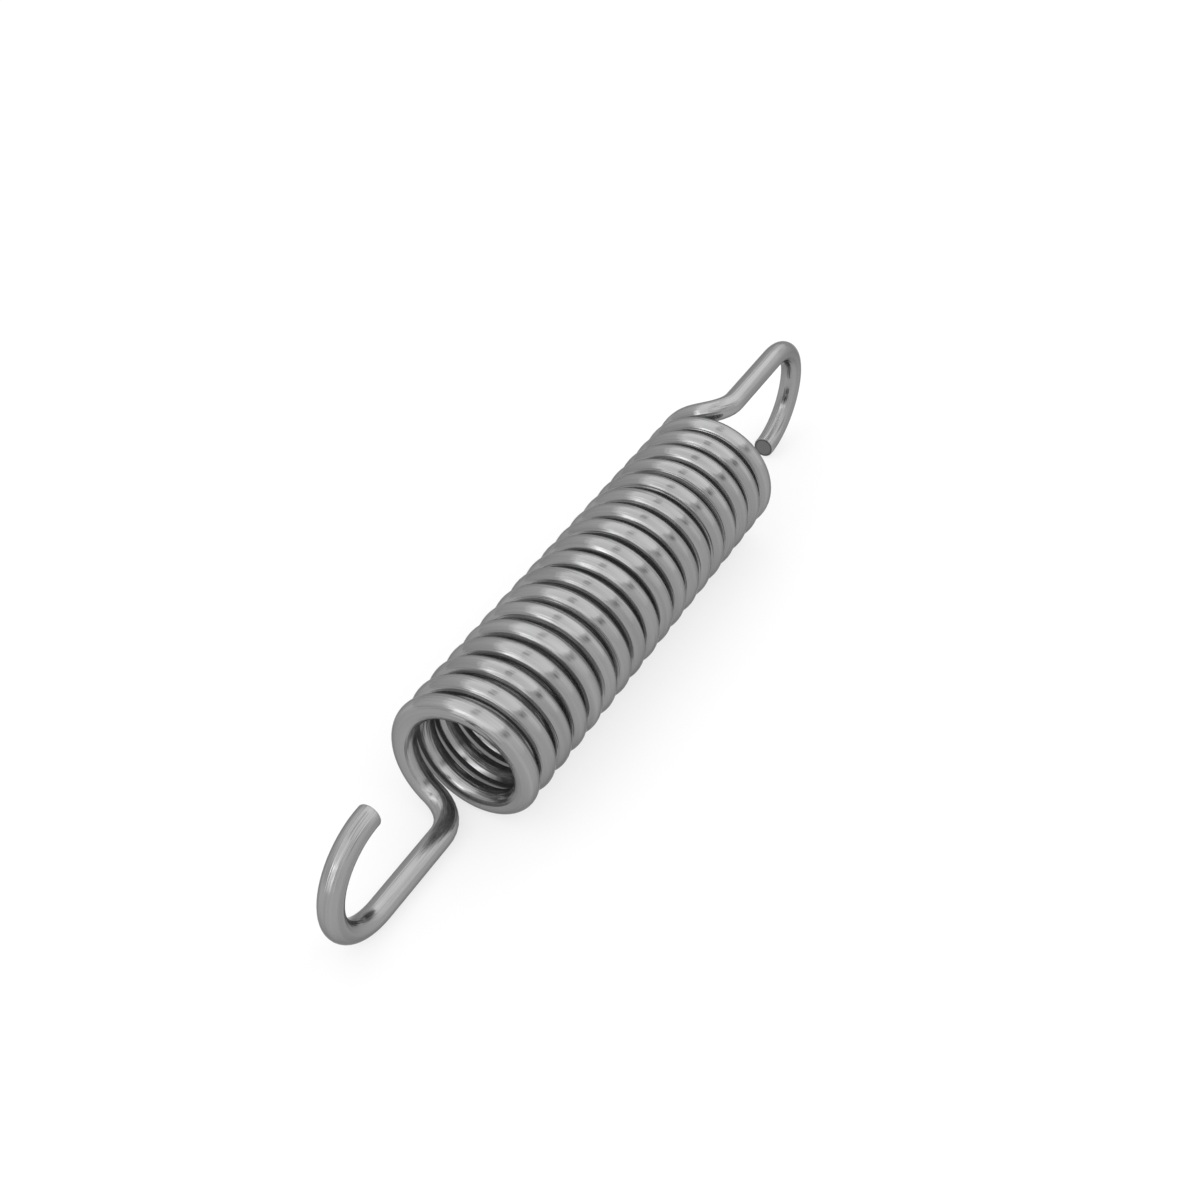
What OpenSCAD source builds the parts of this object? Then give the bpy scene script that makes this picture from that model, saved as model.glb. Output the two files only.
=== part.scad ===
// Extension spring: one length of round wire, wound into a close coil, with an extended open hook
// bent up at each end. The coil lies along X on the plane z = 0, with the left hook's leg at the
// bottom and the right hook's leg at the top. The origin is under the middle of the coil.

/* [Wire] */
// Diameter of the wire
wire_d = 2; // [1:0.1:2.4]

/* [Coil] */
// Outside diameter of the coil
coil_d = 12.5; // [10:0.5:20]
// Gap left between one turn and the next
turn_gap = 0.4; // [0.1:0.1:2]
// Turns from one leg to the other: a half turn over sets the legs on opposite sides
turns = 18.5; // [6.5:0.5:24.5]

/* [Hooks] */
// Radius of the bend that takes the wire from the coil into a leg, on the unrolled coil
neck_r = 3; // [2:0.25:4]
// Length of the straight leg, from that bend to the round of the hook
leg_len = 8; // [2:0.5:20]
// How far round the wire goes at the hook's end
hook_deg = 182; // [150:1:200]

/* [Hidden] */

// The coil's mean radius is also the hook's, so a hook is as wide as the coil
mean_r = (coil_d - wire_d) / 2;
pitch = wire_d + turn_gap;
lead_deg = atan(pitch / (2 * PI * mean_r));

// A neck turns the wire from the lead angle to the axis on the coil's own cylinder
neck_span = neck_r * cos(lead_deg);
neck_deg = neck_r * (1 - sin(lead_deg)) / mean_r * 180 / PI;
coil_deg = turns * 360 - 2 * neck_deg;
coil_len = coil_deg / 360 * pitch;
coil_x = -coil_len / 2;
leg_x = coil_x - neck_span - leg_len;

// Flats of the wire's section, and flats to a turn in whole quarters: fewer on a long coil
wire_sides = 12;
most_turn_sides = 24;
most_coil_sides = 444;
turn_sides = 4 * floor(min(most_turn_sides, most_coil_sides / turns) / 4);
turn_step = 360 / turn_sides;
neck_steps = 6;
// No two stations stand closer together than this angle
least_step = 1;

// Directions at an angle round the coil, counted from the bottom, and along the coil
function outward(angle) = [0, sin(angle), -cos(angle)];
function around(angle) = [0, cos(angle), sin(angle)];
along = [1, 0, 0];

// Flats are set to touch the true curve at their middles, so their ends stand a little outside it
function flat_r(r, step) = r / cos(step / 2);

// A station on the wire is its centre, the way the wire runs, the outward side of its bend, and how
// much the mitre between two flats widens its section
function hook_station(angle, step) = [
    along * leg_x + (outward(0) * cos(angle) - along * sin(angle)) * flat_r(mean_r, step),
    outward(0) * sin(angle) + along * cos(angle),
    outward(0) * cos(angle) - along * sin(angle),
    flat_r(1, step)
];

function coil_station(angle, step, x, lead) = [
    along * x + outward(angle) * flat_r(mean_r, step),
    around(angle) * cos(lead) + along * sin(lead),
    outward(angle),
    flat_r(1, step)
];

// The round of the hook, from its cut tip to the leg, with a flat where it is widest
hook = [
    hook_station(hook_deg, 0),
    for (i = [ceil(hook_deg / turn_step):-1:0])
        let (angle = (i + 0.5) * turn_step)
            if (angle < hook_deg - least_step) hook_station(angle, turn_step),
    hook_station(0, 0)
];

// The neck, from the end of the straight leg to the first turn
neck = [
    for (i = [0:neck_steps])
        let (turned = i / neck_steps * (90 - lead_deg))
            coil_station(
                neck_r * (1 - cos(turned)) / mean_r * 180 / PI,
                0,
                coil_x - neck_span + neck_r * sin(turned),
                90 - turned
            )
];

// The turns, with a flat at the bottom, at the top and at each side
coil = [
    for (i = [0:ceil(turns * turn_sides)])
        let (angle = (i + 0.5) * turn_step)
            if (angle > neck_deg + least_step && angle < neck_deg + coil_deg - least_step)
                coil_station(
                    angle,
                    turn_step,
                    coil_x + (angle - neck_deg) / 360 * pitch,
                    lead_deg
                )
];

left_end = concat(hook, neck);

// The right end is the left one, turned half round about a line across the middle of the coil
total_deg = turns * 360;
function half_round(v) = [
    -v.x,
    -v.y * cos(total_deg) - v.z * sin(total_deg),
    v.z * cos(total_deg) - v.y * sin(total_deg)
];
right_end = [
    for (i = [len(left_end) - 1:-1:0])
        let (s = left_end[i])
            [half_round(s[0]), -half_round(s[1]), half_round(s[2]), s[3]]
];

stations = concat(left_end, coil, right_end);

// The points of the wire's section at a station, with a flat on the outward side
function section(s) =
    let (side = cross(s[1], s[2]), r = flat_r(wire_d / 2, 360 / wire_sides))
        [
            for (i = [0:wire_sides - 1])
                let (angle = (i + 0.5) * 360 / wire_sides)
                    s[0] + (s[2] * cos(angle) * s[3] + side * sin(angle)) * r
        ];

module wire(stations) {
    last = len(stations) - 1;
    points = [for (s = stations) each section(s)];
    walls = [
        for (i = [0:last - 1])
            for (k = [0:wire_sides - 1])
                let (a = i * wire_sides + k, b = i * wire_sides + (k + 1) % wire_sides)
                    [a, a + wire_sides, b + wire_sides, b]
    ];
    tip = [for (k = [0:wire_sides - 1]) k];
    tail = [for (k = [wire_sides - 1:-1:0]) last * wire_sides + k];
    polyhedron(points, concat([tip], walls, [tail]), convexity = 20);
}

module spring() {
    color([0.72, 0.72, 0.73])
        translate([0, 0, coil_d / 2])
            wire(stations);
}

spring();
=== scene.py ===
"""Looks of an extension spring: a round steel wire, wound into a coil and bent into a hook at each end.

The wire is made straight first, and then wound. Each of its points keeps its place on the straight wire
in an attribute, so that the marks of drawing run along the wire through every bend.
"""

from collections import namedtuple
from math import atan, cos, floor, pi, radians, sin

import bmesh
import bpy
from bpy.props import FloatProperty, FloatVectorProperty, IntProperty, PointerProperty
from bpy.types import Operator, Panel, PropertyGroup
from mathutils import Matrix, Vector


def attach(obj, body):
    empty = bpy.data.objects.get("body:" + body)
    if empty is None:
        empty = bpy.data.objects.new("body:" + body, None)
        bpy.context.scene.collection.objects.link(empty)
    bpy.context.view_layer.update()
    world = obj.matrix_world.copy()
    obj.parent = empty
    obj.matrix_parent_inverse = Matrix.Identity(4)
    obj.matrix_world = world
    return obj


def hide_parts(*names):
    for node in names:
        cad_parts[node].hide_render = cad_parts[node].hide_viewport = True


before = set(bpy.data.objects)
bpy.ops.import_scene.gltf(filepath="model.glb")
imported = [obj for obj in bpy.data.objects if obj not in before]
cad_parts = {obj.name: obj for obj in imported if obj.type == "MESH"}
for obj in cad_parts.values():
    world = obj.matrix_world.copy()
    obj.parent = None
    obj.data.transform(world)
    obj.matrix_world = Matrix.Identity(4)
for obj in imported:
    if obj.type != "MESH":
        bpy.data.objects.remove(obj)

bl_info = {
    "name": "Extension Spring",
    "version": (1, 0, 0),
    "blender": (4, 5, 0),
    "location": "View3D > Sidebar > Spring",
    "description": "Winds a round steel wire into an extension spring with two open hooks",
    "category": "Object",
}

# The attribute that keeps a point's place on the straight wire, and what it holds across the wire
STRAIGHT = "straight_wire"
ACROSS_WIRE = (0, 1, 1)

# The eased edge round a cut end
EDGE_SEGMENTS = 2
ROUND_PROFILE = 0.5

# Lines that the drawing die leaves: their width as a share of the steel's line width, and their steps of
# finer detail. The fine ones are a shallow relief, and the broad ones change the colour and the polish.
DrawnLines = namedtuple("DrawnLines", "width_share detail")
FINE_LINES = DrawnLines(1.0, 3.0)
BROAD_LINES = DrawnLines(1.7, 2.0)
# How strong each step of detail is next to the one before it
DETAIL_STRENGTH = 0.6
# The part of a noise's range in which nearly all of its values lie
NOISE_MIDDLE = (0.3, 0.7)

# Heights between which the room's walls have their full level, from 0 at the horizon to 1 overhead
WALL_HEIGHTS = (0.4, 0.95)
# A float curve gives values up to 1, so the room's levels are divided by this in it
CURVE_TOP = 2.0
# The dark seam has its full depth over this share of its reach
SEAM_FULL_SHARE = 1 / 3

# Width of the camera's sensor in millimetres, and the nearest and farthest that it sees in metres
SENSOR_WIDTH = 36
NEAR_CLIP, FAR_CLIP = 0.01, 10

# Spacing of the shader nodes in their editor
NODE_COLUMN, NODE_ROW = 200, 200

# A softbox lights along its aim, and its roll turns it about that. Its middle and size are in metres, and
# its level is the brightness that it adds where it shows in the metal. Softboxes that overlap are at
# different distances, because only one of two in the same plane shows there.
Softbox = namedtuple("Softbox", "name middle size aim roll level")
DOWN, TO_FAR_END, TO_NEAR_END, TO_LEFT = (0, 0, -1), (1, 0, 0), (-1, 0, 0), (0, 1, 0)
SOFTBOXES = (
    Softbox("overhead_right", (0, -0.5725, 1.1), (3.8, 0.875), DOWN, 0, 0.6),
    Softbox("overhead_left", (-0.225, 0.435, 1.1), (3.35, 0.75), DOWN, 0, 0.42),
    Softbox("overhead_left_wide", (-0.225, 0.55, 1.12), (3.35, 1.0), DOWN, 0, 0.35),
    Softbox("overhead_near", (-1.15, -0.0225, 1.1), (1.5, 0.225), DOWN, 0, 0.6),
    Softbox("overhead_far", (1.225, -0.0225, 1.1), (1.35, 0.225), DOWN, 0, 0.6),
    Softbox("near_end", (-1.75, -0.03, 0.62), (1.45, 1.24), TO_FAR_END, 0, 0.95),
    Softbox("near_corner", (-1.8, 0.85, 1.45), (0.75, 1.7), TO_FAR_END, radians(45), 0.65),
    Softbox("near_strip", (-1.7, 0.38, 0.95), (0.2, 1.7), TO_FAR_END, radians(42), 1.4),
    Softbox("far_end", (1.75, 0.075, 0.625), (1.25, 0.75), TO_NEAR_END, 0, 0.4),
    Softbox("right_wall", (1.125, -1.4, 0.65), (1.25, 1.1), TO_LEFT, 0, 0.25),
)


class SpringWireSettings(PropertyGroup):
    """Sizes of the wire, the coil and the hooks"""

    wire_diameter: FloatProperty(
        name="Wire Diameter",
        description="Diameter of the wire",
        default=0.002, min=0.0005, max=0.004, precision=4, unit="LENGTH",
    )
    coil_diameter: FloatProperty(
        name="Coil Diameter",
        description="Outside diameter of the coil",
        default=0.0125, min=0.006, max=0.03, precision=4, unit="LENGTH",
    )
    turn_gap: FloatProperty(
        name="Turn Gap",
        description="Gap left between one turn and the next",
        default=0.0004, min=0.0, max=0.002, precision=4, unit="LENGTH",
    )
    turns: FloatProperty(
        name="Turns",
        description="Turns from one leg to the other",
        default=18.5, min=4.5, max=40.5,
    )
    neck_radius: FloatProperty(
        name="Neck Radius",
        description="Radius of the bend from the coil into a leg, on the unrolled coil",
        default=0.003, min=0.001, max=0.006, precision=4, unit="LENGTH",
    )
    leg_length: FloatProperty(
        name="Leg Length",
        description="Length of the straight leg, from its neck to the round of the hook",
        default=0.008, min=0.0, max=0.03, precision=4, unit="LENGTH",
    )
    hook_angle: FloatProperty(
        name="Hook Angle",
        description="How far round the wire goes at the hook's end",
        default=radians(182), min=radians(90), max=radians(250), subtype="ANGLE",
    )
    cut_edge: FloatProperty(
        name="Cut Edge",
        description="Width of the eased edge round each cut end",
        default=0.00008, min=0.0, max=0.0003, precision=5, unit="LENGTH",
    )
    sides: IntProperty(
        name="Sides",
        description="Sides of the wire's section",
        default=32, min=8, max=64,
    )
    span: FloatProperty(
        name="Span",
        description="Longest stretch of wire between two rings of points",
        default=0.0005, min=0.0002, max=0.002, precision=5, unit="LENGTH",
    )


class SpringSteelSettings(PropertyGroup):
    """Colour and finish of the steel"""

    colour: FloatVectorProperty(
        name="Colour",
        description="Colour of the bare steel",
        default=(0.28, 0.28, 0.283), min=0.0, max=1.0, subtype="COLOR",
    )
    colour_change: FloatProperty(
        name="Colour Change",
        description="How much lighter or darker the drawn lines are than the steel between them",
        default=0.12, min=0.0, max=1.0, subtype="FACTOR",
    )
    bare_share: FloatProperty(
        name="Bare Share",
        description="Share of the surface that is bare metal, and not the dull film left from drawing",
        default=0.9, min=0.0, max=1.0, subtype="FACTOR",
    )
    edge_tint: FloatVectorProperty(
        name="Edge Tint",
        description="Tint of the reflections where the surface is seen at a low angle",
        default=(0.4, 0.4, 0.4), min=0.0, max=1.0, subtype="COLOR",
    )
    roughness: FloatProperty(
        name="Roughness",
        description="Roughness of the wire's round face",
        default=0.11, min=0.0, max=1.0, subtype="FACTOR",
    )
    polish_change: FloatProperty(
        name="Polish Change",
        description="How much the roughness changes from one line to the next",
        default=0.04, min=0.0, max=0.2,
    )
    line_width: FloatProperty(
        name="Line Width",
        description="Width of the lines that the drawing die leaves along the wire",
        default=0.00033, min=0.00005, max=0.002, precision=5, unit="LENGTH",
    )
    line_length: FloatProperty(
        name="Line Length",
        description="Length of those lines",
        default=0.06, min=0.001, max=0.2, precision=4, unit="LENGTH",
    )
    line_depth: FloatProperty(
        name="Line Depth",
        description="Depth of those lines, from the highest point of the steel to the lowest",
        default=0.00008, min=0.0, max=0.0002, precision=6, unit="LENGTH",
    )
    cut_colour: FloatVectorProperty(
        name="Cut Colour",
        description="Colour of the cut end faces",
        default=(0.16, 0.16, 0.161), min=0.0, max=1.0, subtype="COLOR",
    )
    cut_roughness: FloatProperty(
        name="Cut Roughness",
        description="Roughness of the cut end faces",
        default=0.45, min=0.0, max=1.0, subtype="FACTOR",
    )
    # The darker rim of the cut faces is painted shade: their colour is made darker towards the edge
    rim_shade_width: FloatProperty(
        name="Cut Rim",
        description="Width of the darker rim of the cut end faces",
        default=0.00022, min=0.00001, max=0.001, precision=5, unit="LENGTH",
    )
    rim_shade_level: FloatProperty(
        name="Cut Rim Level",
        description="How bright the rim is at its edge, as a share of the face",
        default=0.3, min=0.0, max=1.0, subtype="FACTOR",
    )


class SpringStageSettings(PropertyGroup):
    """Floor, room and camera"""

    floor_colour: FloatVectorProperty(
        name="Floor Colour",
        description="Colour of the floor",
        default=(0.75, 0.75, 0.75), min=0.0, max=1.0, subtype="COLOR",
    )
    floor_glow: FloatProperty(
        name="Floor Glow",
        description="Share of plain white in the floor that the camera and the metal see",
        default=0.7, min=0.0, max=1.0, subtype="FACTOR",
    )
    floor_size: FloatProperty(
        name="Floor Size",
        description="Distance from the middle of the floor to its sides",
        default=3.0, min=0.5, max=10.0, unit="LENGTH",
    )
    horizon_level: FloatProperty(
        name="Horizon Level",
        description="Brightness of the room at the horizon",
        default=0.9, min=0.0, max=2.0,
    )
    room_level: FloatProperty(
        name="Room Level",
        description="Brightness of the room's walls",
        default=1.03, min=0.0, max=2.0,
    )
    zenith_level: FloatProperty(
        name="Zenith Level",
        description="Brightness of the room straight overhead",
        default=0.8, min=0.0, max=2.0,
    )
    room_lean: FloatVectorProperty(
        name="Room Lean",
        description="How much brighter the room is along each axis",
        default=(0.08, -0.15, 0.0),
    )
    seam_angle: FloatProperty(
        name="Seam Angle",
        description="Height of the dark seam between the right wall and the softbox above it",
        default=radians(38.5), subtype="ANGLE",
    )
    seam_width: FloatProperty(
        name="Seam Width",
        description="Angle from the middle of the seam to its soft edge",
        default=radians(8.5), min=radians(0.5), subtype="ANGLE",
    )
    seam_level: FloatProperty(
        name="Seam Level",
        description="Share of the room's brightness that is left in the seam",
        default=0.3, min=0.0, max=1.0, subtype="FACTOR",
    )
    seam_reach: FloatProperty(
        name="Seam Reach",
        description="How far the seam runs towards each end before it fades, as a share of the way",
        default=0.6, min=0.0, max=1.0, subtype="FACTOR",
    )
    camera_azimuth: FloatProperty(
        name="Camera Azimuth",
        description="Direction that the camera looks along, turned from the coil's axis",
        default=radians(29.442), subtype="ANGLE",
    )
    camera_elevation: FloatProperty(
        name="Camera Elevation",
        description="How steeply the camera looks down",
        default=radians(42.153), subtype="ANGLE",
    )
    camera_roll: FloatProperty(
        name="Camera Roll",
        description="How far the camera is turned about its own line of sight",
        default=radians(0.445), subtype="ANGLE",
    )
    camera_distance: FloatProperty(
        name="Camera Distance",
        description="Distance from the camera to the middle of the coil",
        default=0.14536, min=0.05, max=2.0, precision=4, unit="LENGTH",
    )
    lens: FloatProperty(
        name="Lens",
        description="Focal length in millimetres on a 36 mm sensor",
        default=51.28, min=10.0, max=200.0,
    )


class WirePath:
    """The line that the middle of the wire follows, from the left hook's tip to the right one's."""

    def __init__(self, wire):
        self.bend_radius = (wire.coil_diameter - wire.wire_diameter) / 2
        self.neck_radius = wire.neck_radius
        self.leg_length = wire.leg_length
        self.hook_angle = wire.hook_angle
        pitch = wire.wire_diameter + wire.turn_gap
        self.lead = atan(pitch / (2 * pi * self.bend_radius))
        self.neck_turn = pi / 2 - self.lead
        self.neck_angle = wire.neck_radius * (1 - sin(self.lead)) / self.bend_radius
        self.coil_angle = wire.turns * 2 * pi - 2 * self.neck_angle
        self.coil_start = -self.coil_angle / (2 * pi) * pitch / 2
        self.neck_start = self.coil_start - wire.neck_radius * cos(self.lead)
        self.hook_centre = self.neck_start - wire.leg_length

        self.hook_length = self.bend_radius * self.hook_angle
        self.neck_length = wire.neck_radius * self.neck_turn
        self.coil_length = self.bend_radius * self.coil_angle / cos(self.lead)
        self.length = 2 * (self.hook_length + self.leg_length + self.neck_length) + self.coil_length

        self.lift = Matrix.Translation((0, 0, wire.coil_diameter / 2))
        self.half_turn = (
            self.lift
            @ Matrix.Rotation(wire.turns * pi, 4, "X")
            @ Matrix.Rotation(pi, 4, "Z")
            @ Matrix.Rotation(-wire.turns * pi, 4, "X")
            @ self.lift.inverted()
        )

    def on_coil(self, x, angle, turned):
        """A place on the coil's cylinder, turned from along the coil towards the run of its turns."""
        return (
            self.lift
            @ Matrix.Translation((x, 0, 0))
            @ Matrix.Rotation(angle, 4, "X")
            @ Matrix.Translation((0, 0, -self.bend_radius))
            @ Matrix.Rotation(turned, 4, "Z")
        )

    def place(self, distance):
        """Where the wire is at a distance from its left tip.

        X runs along the wire there, and Z points to the inside of its bend.
        """
        if distance > self.length / 2:
            return self.half_turn @ self.place(self.length - distance) @ Matrix.Rotation(pi, 4, "Z")
        if distance < self.hook_length:
            return (
                self.lift
                @ Matrix.Translation((self.hook_centre, 0, 0))
                @ Matrix.Rotation(self.hook_angle - distance / self.bend_radius, 4, "Y")
                @ Matrix.Translation((0, 0, -self.bend_radius))
            )
        distance -= self.hook_length
        if distance < self.leg_length:
            return self.on_coil(self.hook_centre + distance, 0, 0)
        distance -= self.leg_length
        if distance < self.neck_length:
            turned = distance / self.neck_radius
            return self.on_coil(
                self.neck_start + self.neck_radius * sin(turned),
                self.neck_radius * (1 - cos(turned)) / self.bend_radius,
                turned,
            )
        distance -= self.neck_length
        return self.on_coil(
            self.coil_start + distance * sin(self.lead),
            self.neck_angle + distance * cos(self.lead) / self.bend_radius,
            self.neck_turn,
        )


def straight_wire(wire, length):
    """A straight round wire along X, cut square at both ends, in short equal spans."""
    mesh = bmesh.new()
    bmesh.ops.create_cone(
        mesh,
        cap_ends=True,
        segments=wire.sides,
        radius1=wire.wire_diameter / 2,
        radius2=wire.wire_diameter / 2,
        depth=length,
        matrix=Matrix.Translation((length / 2, 0, 0)) @ Matrix.Rotation(pi / 2, 4, "Y"),
    )

    def run(edge):
        """How far an edge runs along the wire."""
        return abs(edge.verts[0].co.x - edge.verts[1].co.x)

    rims = [edge for edge in mesh.edges if run(edge) < length / 2]
    bmesh.ops.bevel(
        mesh,
        geom=rims,
        offset=wire.cut_edge,
        affect="EDGES",
        segments=EDGE_SEGMENTS,
        profile=ROUND_PROFILE,
        material=-1,
    )
    sides = [edge for edge in mesh.edges if run(edge) > length / 2]
    bmesh.ops.subdivide_edges(mesh, edges=sides, cuts=floor(length / wire.span), use_grid_fill=True)
    return mesh


def wind(mesh, path):
    """Bends a straight wire onto its path. An attribute keeps each point's place on the straight wire."""
    straight = mesh.verts.layers.float_vector.new(STRAIGHT)
    for vert in mesh.verts:
        vert[straight] = vert.co
        vert.co = path.place(vert.co.x) @ Vector((0, vert.co.y, vert.co.z))


def add_node(tree, kind, place, **values):
    """Adds a shader node at a column and row, with its properties and the numbers on its sockets."""
    node = tree.nodes.new(kind)
    node.location = place[0] * NODE_COLUMN, place[1] * NODE_ROW
    for name, value in values.items():
        if name in node.inputs:
            node.inputs[name].default_value = value
        else:
            setattr(node, name, value)
    return node


def calculate(tree, operation, place, *values):
    """Adds a math node that works on numbers and on other nodes' outputs."""
    node = add_node(tree, "ShaderNodeMath", place, operation=operation)
    for socket, value in zip(node.inputs, values):
        if isinstance(value, bpy.types.NodeSocket):
            tree.links.new(value, socket)
        else:
            socket.default_value = value
    return node.outputs["Value"]


def ramp(tree, place, value, span, levels, interpolation="LINEAR"):
    """Adds a node that goes from one level to another as a value crosses a span, and no further."""
    node = add_node(tree, "ShaderNodeMapRange", place, interpolation_type=interpolation)
    for name, number in zip(("From Min", "From Max", "To Min", "To Max"), (*span, *levels)):
        node.inputs[name].default_value = number
    tree.links.new(value, node.inputs["Value"])
    return node.outputs["Result"]


def shaded(tree, place, colour, shade):
    """Adds a node that makes a colour lighter or darker."""
    node = add_node(tree, "ShaderNodeVectorMath", place, operation="SCALE")
    node.inputs[0].default_value = colour
    tree.links.new(shade, node.inputs["Scale"])
    return node.outputs["Vector"]


def drawn_lines(tree, place, steel, lines):
    """Adds a noise that is drawn out into long thin lines along the wire."""
    column, row = place
    wire = add_node(tree, "ShaderNodeAttribute", (column - 2, row), attribute_name=STRAIGHT)
    across = 1 / (steel.line_width * lines.width_share)
    stretch = add_node(
        tree, "ShaderNodeMapping", (column - 1, row), Scale=(1 / steel.line_length, across, across)
    )
    noise = add_node(
        tree, "ShaderNodeTexNoise", place, Scale=1.0, Detail=lines.detail, Roughness=DETAIL_STRENGTH
    )
    tree.links.new(wire.outputs["Vector"], stretch.inputs["Vector"])
    tree.links.new(stretch.outputs["Vector"], noise.inputs["Vector"])
    return noise.outputs["Fac"]


def drawn_steel(steel):
    """Bright steel wire as it comes from the drawing die, with fine lines along its length."""
    material = bpy.data.materials.new("drawn_steel")
    material.use_nodes = True
    tree = material.node_tree
    surface = tree.nodes["Principled BSDF"]
    surface.inputs["Metallic"].default_value = steel.bare_share
    surface.inputs["Specular Tint"].default_value = (*steel.edge_tint, 1)

    fine = drawn_lines(tree, (-5, 1), steel, FINE_LINES)
    broad = drawn_lines(tree, (-5, -1), steel, BROAD_LINES)
    shades = 1 - steel.colour_change, 1 + steel.colour_change
    colour = shaded(tree, (-2, 0), steel.colour, ramp(tree, (-3, 0), broad, NOISE_MIDDLE, shades))
    polish = steel.roughness - steel.polish_change, steel.roughness + steel.polish_change
    roughness = ramp(tree, (-3, -2), broad, NOISE_MIDDLE, polish)
    relief = add_node(tree, "ShaderNodeBump", (-2, 1), Strength=1.0, Distance=steel.line_depth)
    tree.links.new(fine, relief.inputs["Height"])
    tree.links.new(colour, surface.inputs["Base Color"])
    tree.links.new(roughness, surface.inputs["Roughness"])
    tree.links.new(relief.outputs["Normal"], surface.inputs["Normal"])
    return material


def cut_steel(steel, face_radius):
    """The dull end face that the cutter leaves, with painted shade in a darker rim round its edge."""
    material = bpy.data.materials.new("cut_steel")
    material.use_nodes = True
    tree = material.node_tree
    surface = tree.nodes["Principled BSDF"]
    surface.inputs["Metallic"].default_value = 1.0
    surface.inputs["Roughness"].default_value = steel.cut_roughness

    wire = add_node(tree, "ShaderNodeAttribute", (-6, 0), attribute_name=STRAIGHT)
    across = add_node(tree, "ShaderNodeVectorMath", (-5, 0), operation="MULTIPLY")
    across.inputs[1].default_value = ACROSS_WIRE
    radius = add_node(tree, "ShaderNodeVectorMath", (-4, 0), operation="LENGTH")
    tree.links.new(wire.outputs["Vector"], across.inputs[0])
    tree.links.new(across.outputs["Vector"], radius.inputs[0])
    # Painted shade: the colour darkens towards the face's edge, standing in for the shade that the eased
    # edge shows
    rim = face_radius - steel.rim_shade_width, face_radius
    shade = ramp(tree, (-3, 0), radius.outputs["Value"], rim, (1.0, steel.rim_shade_level))
    tree.links.new(shaded(tree, (-2, 0), steel.cut_colour, shade), surface.inputs["Base Color"])
    return material


def new_object(name, mesh):
    """Makes an object from a bmesh, at the origin."""
    data = bpy.data.meshes.new(name)
    mesh.to_mesh(data)
    mesh.free()
    piece = bpy.data.objects.new(name, data)
    bpy.context.scene.collection.objects.link(piece)
    return piece


class SPRING_OT_wind_wire(Operator):
    """Wind the wire into the coil and bend its two hooks"""

    bl_idname = "spring.wind_wire"
    bl_label = "Wind Wire"

    def execute(self, context):
        wire, steel = context.scene.spring_wire, context.scene.spring_steel
        path = WirePath(wire)
        mesh = straight_wire(wire, path.length)
        wind(mesh, path)
        for face in mesh.faces:
            face.smooth = len(face.verts) == 4
            face.material_index = 0 if face.smooth else 1
        piece = new_object("wound_wire", mesh)
        piece.data.materials.append(drawn_steel(steel))
        piece.data.materials.append(cut_steel(steel, wire.wire_diameter / 2 - wire.cut_edge))
        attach(piece, "root")
        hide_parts("spring")
        return {"FINISHED"}


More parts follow.
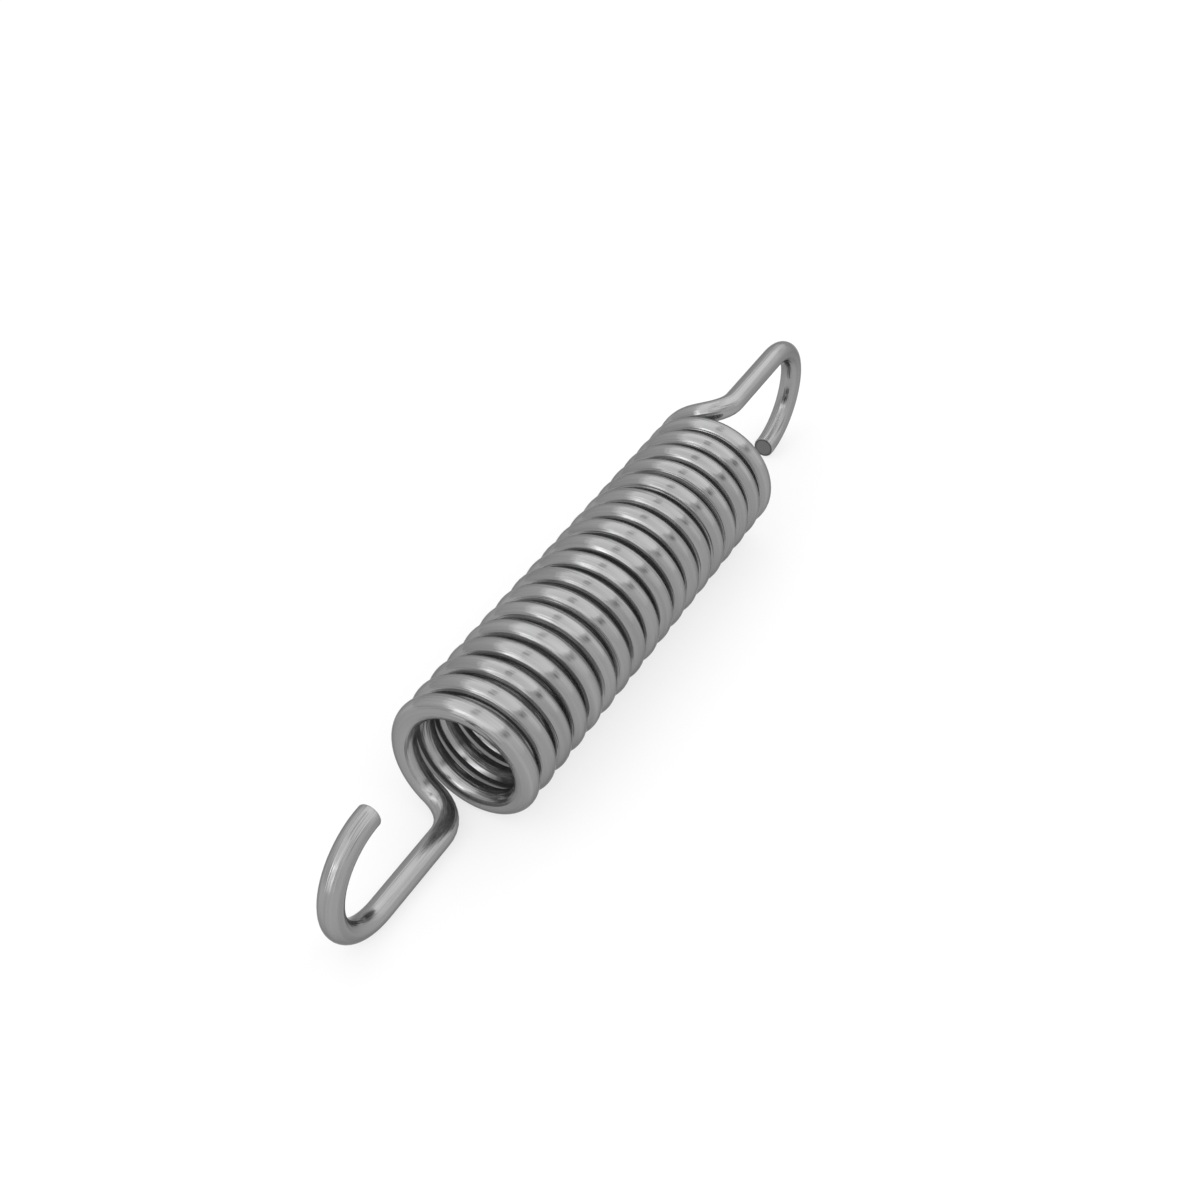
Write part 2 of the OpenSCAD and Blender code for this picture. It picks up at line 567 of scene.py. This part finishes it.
class SPRING_OT_set_stage(Operator):
    """Lay the floor, hang the softboxes and set up the camera"""

    bl_idname = "spring.set_stage"
    bl_label = "Set Stage"

    def execute(self, context):
        stage = context.scene.spring_stage
        self.lay_floor(stage)
        self.light_room(context, stage)
        for softbox in SOFTBOXES:
            self.hang(context, softbox)
        self.place_camera(context, stage)
        context.scene.view_settings.view_transform = "Standard"
        return {"FINISHED"}

    def lay_floor(self, stage):
        """Lays a white floor that keeps the spring's shadow."""
        mesh = bmesh.new()
        bmesh.ops.create_grid(mesh, x_segments=1, y_segments=1, size=stage.floor_size)
        floor_piece = new_object("floor", mesh)
        material = bpy.data.materials.new("white_floor")
        material.use_nodes = True
        tree = material.node_tree
        tree.nodes.clear()
        matt = add_node(tree, "ShaderNodeBsdfDiffuse", (-1, 0), Color=(*stage.floor_colour, 1))
        glow = add_node(tree, "ShaderNodeEmission", (-1, -1))
        rays = add_node(tree, "ShaderNodeLightPath", (-4, 1)).outputs
        seen = calculate(tree, "ADD", (-3, 1), rays["Is Camera Ray"], rays["Is Glossy Ray"])
        seen = calculate(tree, "ADD", (-2, 1), seen, rays["Is Transmission Ray"])
        share = calculate(tree, "MULTIPLY", (-1, 1), seen, stage.floor_glow)
        blend = add_node(tree, "ShaderNodeMixShader", (0, 0))
        output = add_node(tree, "ShaderNodeOutputMaterial", (1, 0))
        tree.links.new(share, blend.inputs["Fac"])
        tree.links.new(matt.outputs["BSDF"], blend.inputs[1])
        tree.links.new(glow.outputs["Emission"], blend.inputs[2])
        tree.links.new(blend.outputs["Shader"], output.inputs["Surface"])
        floor_piece.data.materials.append(material)

    def light_room(self, context, stage):
        """Lights the room evenly: a little darker straight overhead, and with a dark seam on its right."""
        world = bpy.data.worlds.new("studio")
        context.scene.world = world
        world.use_nodes = True
        tree = world.node_tree
        room = tree.nodes["Background"]
        room.inputs["Color"].default_value = (1, 1, 1, 1)
        room.location = (NODE_COLUMN, 0)
        tree.nodes["World Output"].location = (2 * NODE_COLUMN, 0)
        direction = add_node(tree, "ShaderNodeTexCoord", (-7, 0)).outputs["Generated"]
        parts = add_node(tree, "ShaderNodeSeparateXYZ", (-6, 0))
        tree.links.new(direction, parts.inputs["Vector"])
        x, y, z = parts.outputs

        height = add_node(tree, "ShaderNodeFloatCurve", (-4, 2))
        curve = height.mapping.curves[0]
        curve.points[0].location = (0.0, stage.horizon_level / CURVE_TOP)
        curve.points[1].location = (1.0, stage.zenith_level / CURVE_TOP)
        for wall_height in WALL_HEIGHTS:
            curve.points.new(wall_height, stage.room_level / CURVE_TOP)
        height.mapping.update()
        tree.links.new(z, height.inputs["Value"])

        lean = add_node(tree, "ShaderNodeVectorMath", (-4, 0), operation="DOT_PRODUCT")
        lean.inputs[1].default_value = stage.room_lean
        tree.links.new(direction, lean.inputs[0])
        leaned = calculate(tree, "ADD", (-3, 0), lean.outputs["Value"], 1.0)

        right = calculate(tree, "MULTIPLY", (-5, -1), y, -1.0)
        rise = calculate(tree, "ARCTAN2", (-4, -1), z, right)
        past_seam = calculate(tree, "SUBTRACT", (-3, -1), rise, stage.seam_angle)
        from_seam = calculate(tree, "ABSOLUTE", (-2, -1), past_seam)
        from_middle = calculate(tree, "ABSOLUTE", (-2, -2), x)
        width = 0.0, stage.seam_width
        reach = stage.seam_reach * SEAM_FULL_SHARE, stage.seam_reach
        levels = stage.seam_level, 1.0
        seam = ramp(tree, (-1, -1), from_seam, width, levels, "SMOOTHSTEP")
        fade = ramp(tree, (-1, -2), from_middle, reach, levels, "SMOOTHSTEP")
        dimmed = calculate(tree, "MAXIMUM", (0, -1), seam, fade)

        level = calculate(tree, "MULTIPLY", (-2, 1), height.outputs["Value"], leaned)
        full_level = calculate(tree, "MULTIPLY", (-1, 1), level, CURVE_TOP)
        strength = calculate(tree, "MULTIPLY", (0, 1), full_level, dimmed)
        tree.links.new(strength, room.inputs["Strength"])

    def hang(self, context, softbox):
        """Hangs a softbox. Its power follows from its size and the level at which it shows in a mirror."""
        lamp = bpy.data.lights.new(softbox.name, "AREA")
        lamp.shape = "RECTANGLE"
        lamp.size, lamp.size_y = softbox.size
        lamp.energy = softbox.level * pi * softbox.size[0] * softbox.size[1]
        hung = bpy.data.objects.new(softbox.name, lamp)
        context.scene.collection.objects.link(hung)
        hung.location = softbox.middle
        facing = Vector(softbox.aim).to_track_quat("-Z", "Y").to_matrix()
        hung.rotation_euler = (facing @ Matrix.Rotation(softbox.roll, 3, "Z")).to_euler()
        hung.visible_camera = False

    def place_camera(self, context, stage):
        """Points the camera at the middle of the coil, from above its near end."""
        data = bpy.data.cameras.new("camera")
        data.sensor_width = SENSOR_WIDTH
        data.lens = stage.lens
        data.clip_start = NEAR_CLIP
        data.clip_end = FAR_CLIP
        camera = bpy.data.objects.new("camera", data)
        context.scene.collection.objects.link(camera)
        middle = Vector((0, 0, context.scene.spring_wire.coil_diameter / 2))
        camera.matrix_world = (
            Matrix.Translation(middle)
            @ Matrix.Rotation(stage.camera_azimuth - pi / 2, 4, "Z")
            @ Matrix.Rotation(pi / 2 - stage.camera_elevation, 4, "X")
            @ Matrix.Rotation(stage.camera_roll, 4, "Z")
            @ Matrix.Translation((0, 0, stage.camera_distance))
        )
        context.scene.camera = camera


class SPRING_PT_panel(Panel):
    """Pieces of the spring, and its stage"""

    bl_label = "Extension Spring"
    bl_idname = "SPRING_PT_panel"
    bl_space_type = "VIEW_3D"
    bl_region_type = "UI"
    bl_category = "Spring"

    def draw(self, context):
        scene = context.scene
        for settings, operator in (
            (scene.spring_wire, "spring.wind_wire"),
            (scene.spring_steel, None),
            (scene.spring_stage, "spring.set_stage"),
        ):
            box = self.layout.box()
            for name in settings.__annotations__:
                box.prop(settings, name)
            if operator:
                box.operator(operator)


CLASSES = (
    SpringWireSettings,
    SpringSteelSettings,
    SpringStageSettings,
    SPRING_OT_wind_wire,
    SPRING_OT_set_stage,
    SPRING_PT_panel,
)


def register():
    for cls in CLASSES:
        bpy.utils.register_class(cls)
    bpy.types.Scene.spring_wire = PointerProperty(type=SpringWireSettings)
    bpy.types.Scene.spring_steel = PointerProperty(type=SpringSteelSettings)
    bpy.types.Scene.spring_stage = PointerProperty(type=SpringStageSettings)


def unregister():
    del bpy.types.Scene.spring_wire
    del bpy.types.Scene.spring_steel
    del bpy.types.Scene.spring_stage
    for cls in reversed(CLASSES):
        bpy.utils.unregister_class(cls)


def main():
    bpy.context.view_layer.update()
    register()
    bpy.ops.spring.wind_wire()
    bpy.ops.spring.set_stage()


if __name__ == "__main__":
    main()
